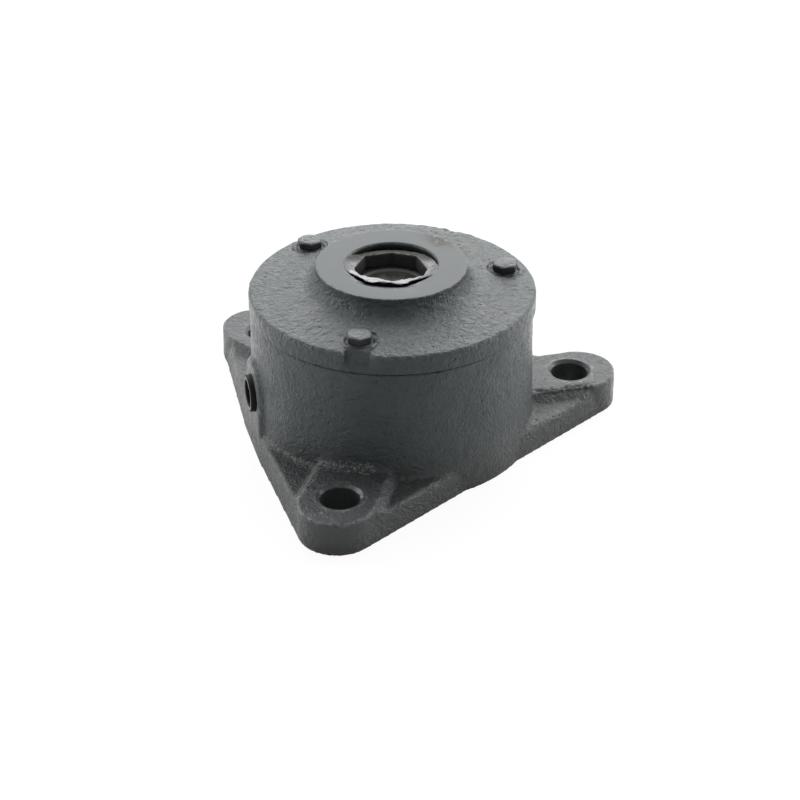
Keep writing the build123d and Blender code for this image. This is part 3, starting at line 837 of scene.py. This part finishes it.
def ring_section(azimuth):
    """Points of the ring's sheet at an azimuth, from the collar's foot to the flange's edge."""
    edge = np.array(RING_EDGE)
    inner = corner_radius(azimuth)
    outer = np.interp(azimuth, edge[:, 0], edge[:, 1])
    high = np.interp(azimuth, edge[:, 0], edge[:, 2])
    way = radians(azimuth)
    rise = high - RING_MIDDLE - RING_SLOPE * outer * sin(way)
    profile = (
        (inner - 0.5, -RING_COLLAR), (inner - 0.3, -0.5 * RING_COLLAR), (inner - 0.1, -1.0),
        (inner + 0.1, -0.3), (inner + 0.5, 0.0), (0.5 * (inner + outer), 0.4 * rise),
        (0.2 * inner + 0.8 * outer, 0.8 * rise), (outer, rise),
    )
    return [faced(r * cos(way), r * sin(way), RING_MIDDLE + RING_SLOPE * r * sin(way) + up)
            for r, up in profile]


def dress_ring(material):
    """A thin eight-sided collar with a crumpled flange, pressed askew into the bore."""
    sections = [ring_section(-180 + 360 * step / RING_STEPS) for step in range(RING_STEPS)]
    width = len(sections[0])
    points = [tuple(p) for section in sections for p in section]
    faces = []
    for step in range(RING_STEPS):
        here, there = step * width, (step + 1) % RING_STEPS * width
        faces += [(here + j, there + j, there + j + 1, here + j + 1) for j in range(width - 1)]
    mesh = bpy.data.meshes.new("bore_ring_sheet")
    mesh.from_pydata(points, [], faces)
    piece = bpy.data.objects.new("bore_ring_sheet", mesh)
    bpy.context.scene.collection.objects.link(piece)
    applied(piece, "SOLIDIFY", thickness=RING_SHEET * MM, offset=0)
    applied(piece, "SUBSURF", levels=1)
    points = read_points(piece.data)
    forward = points @ np.array(HEADING @ Vector((0, -1, 0)))
    share = np.clip((points[:, 2] - RING_LOW.z) / (8 * MM), 0.1, 1) * np.where(forward > 9 * MM, 1.0, 0.4)
    roughen(piece, share, ((3.4 * MM, 0.5 * MM), (1.2 * MM, 0.25 * MM)))
    piece.data.polygons.foreach_set("use_smooth", [True] * len(piece.data.polygons))
    piece.data.materials.append(material)
    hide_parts("bore_ring")
    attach(piece, "stator")


def paint_node(name, material):
    """Gives a CAD node that is shown as it is its material."""
    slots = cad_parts[name].data.materials
    slots.clear()
    slots.append(material)


# Stage
def make_world():
    world = bpy.data.worlds.new("studio")
    bpy.context.scene.world = world
    world.use_nodes = True
    tree = world.node_tree
    tree.nodes.clear()
    path = node(tree, "ShaderNodeLightPath")
    seen = maths(tree, "MAXIMUM", path.outputs["Is Camera Ray"], path.outputs["Is Glossy Ray"])
    seen = maths(tree, "MAXIMUM", seen, path.outputs["Is Transmission Ray"])
    lit = node(tree, "ShaderNodeBackground", {"Color": WHITE, "Strength": 0.36})
    white = node(tree, "ShaderNodeBackground", {"Color": WHITE, "Strength": 1.0})
    both = node(tree, "ShaderNodeMixShader", {0: seen, 1: lit.outputs[0], 2: white.outputs[0]})
    output = node(tree, "ShaderNodeOutputWorld")
    tree.links.new(both.outputs[0], output.inputs["Surface"])


def make_floor():
    side = 3.0
    mesh = bpy.data.meshes.new("floor")
    low = -0.1 * MM
    corners = [(-side, -side, low), (side, -side, low), (side, side, low), (-side, side, low)]
    mesh.from_pydata(corners, [], [(0, 1, 2, 3)])
    floor = bpy.data.objects.new("floor", mesh)
    bpy.context.scene.collection.objects.link(floor)
    material, tree, shader = new_material("floor_white")
    shader.inputs["Base Color"].default_value = (0.9, 0.9, 0.9, 1)
    shader.inputs["Roughness"].default_value = 0.9
    path = node(tree, "ShaderNodeLightPath")
    glow = node(tree, "ShaderNodeEmission", {"Color": WHITE, "Strength": 1.0})
    share = maths(tree, "MULTIPLY", path.outputs["Is Camera Ray"], 0.93)
    both = node(tree, "ShaderNodeMixShader", {0: share, 1: shader.outputs[0], 2: glow.outputs[0]})
    tree.links.new(both.outputs[0], tree.nodes["Material Output"].inputs["Surface"])
    mesh.materials.append(material)


def make_lamp(name, place, aim, size, power):
    """A square area lamp at place, aimed at a point."""
    data = bpy.data.lights.new(name, "AREA")
    data.shape = "SQUARE"
    data.size = size
    data.energy = power
    lamp = bpy.data.objects.new(name, data)
    bpy.context.scene.collection.objects.link(lamp)
    lamp.location = place
    lamp.rotation_euler = (Vector(aim) - Vector(place)).to_track_quat("-Z", "Y").to_euler()


def make_lamps():
    """One wide soft box behind and above the part, and weak ones at its sides."""
    middle = (0, 0, 0.04)
    make_lamp("rear", faced(90, 800, 860), middle, 1.5, 35)
    make_lamp("left", faced(-1000, 350, 330), middle, 0.7, 8)
    make_lamp("right", faced(1000, 350, 330), middle, 0.7, 8.5)


def make_camera():
    back = HEADING @ Vector((0, -cos(CAMERA_ELEVATION), sin(CAMERA_ELEVATION)))
    camera = bpy.data.objects.new("camera", bpy.data.cameras.new("camera"))
    bpy.context.scene.collection.objects.link(camera)
    camera.data.lens = CAMERA_LENS
    camera.location = HEADING @ Vector(CAMERA_TARGET) + back * CAMERA_DISTANCE
    camera.rotation_euler = (pi / 2 - CAMERA_ELEVATION, 0, CAMERA_HEADING)
    bpy.context.scene.camera = camera


def main():
    bpy.context.scene.view_settings.view_transform = "Standard"
    make_camera()
    make_world()
    make_floor()
    make_lamps()

    dress_housing(cast_paint("housing_paint"))
    dress_cover(cover_paint())
    screw_paint = cast_paint("screw_paint", 0.6)
    shade_sides(screw_paint)
    for number in SCREW_NUMBERS:
        dress_screw(number, screw_paint)

    sleeve = sleeve_steel()
    dress_ring(ring_metal())
    bush = bush_metal()
    bearing = metal("bearing_steel", BEARING_STEEL, 0.2)
    cage = metal("cage_steel", CAGE_STEEL, 0.35)
    spring = metal("spring_steel", SPRING_STEEL, 0.35)
    seal = rubber("seal_rubber")
    gasket = rubber("gasket_paper")
    finishes = {
        "shaft_sleeve": sleeve, "port_bush": bush, "gasket": gasket,
        "bearing_outer_ring": bearing, "bearing_inner_ring": bearing, "sleeve_circlip": spring,
        "upper_seal": seal, "lower_seal": seal, "upper_seal_spring": spring, "lower_seal_spring": spring,
        "cage_upper_half": cage, "cage_lower_half": cage, "cage_rivets": cage,
    }
    for name, material in finishes.items():
        paint_node(name, material)
    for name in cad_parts:
        if name.startswith("ball_"):
            paint_node(name, bearing)


main()
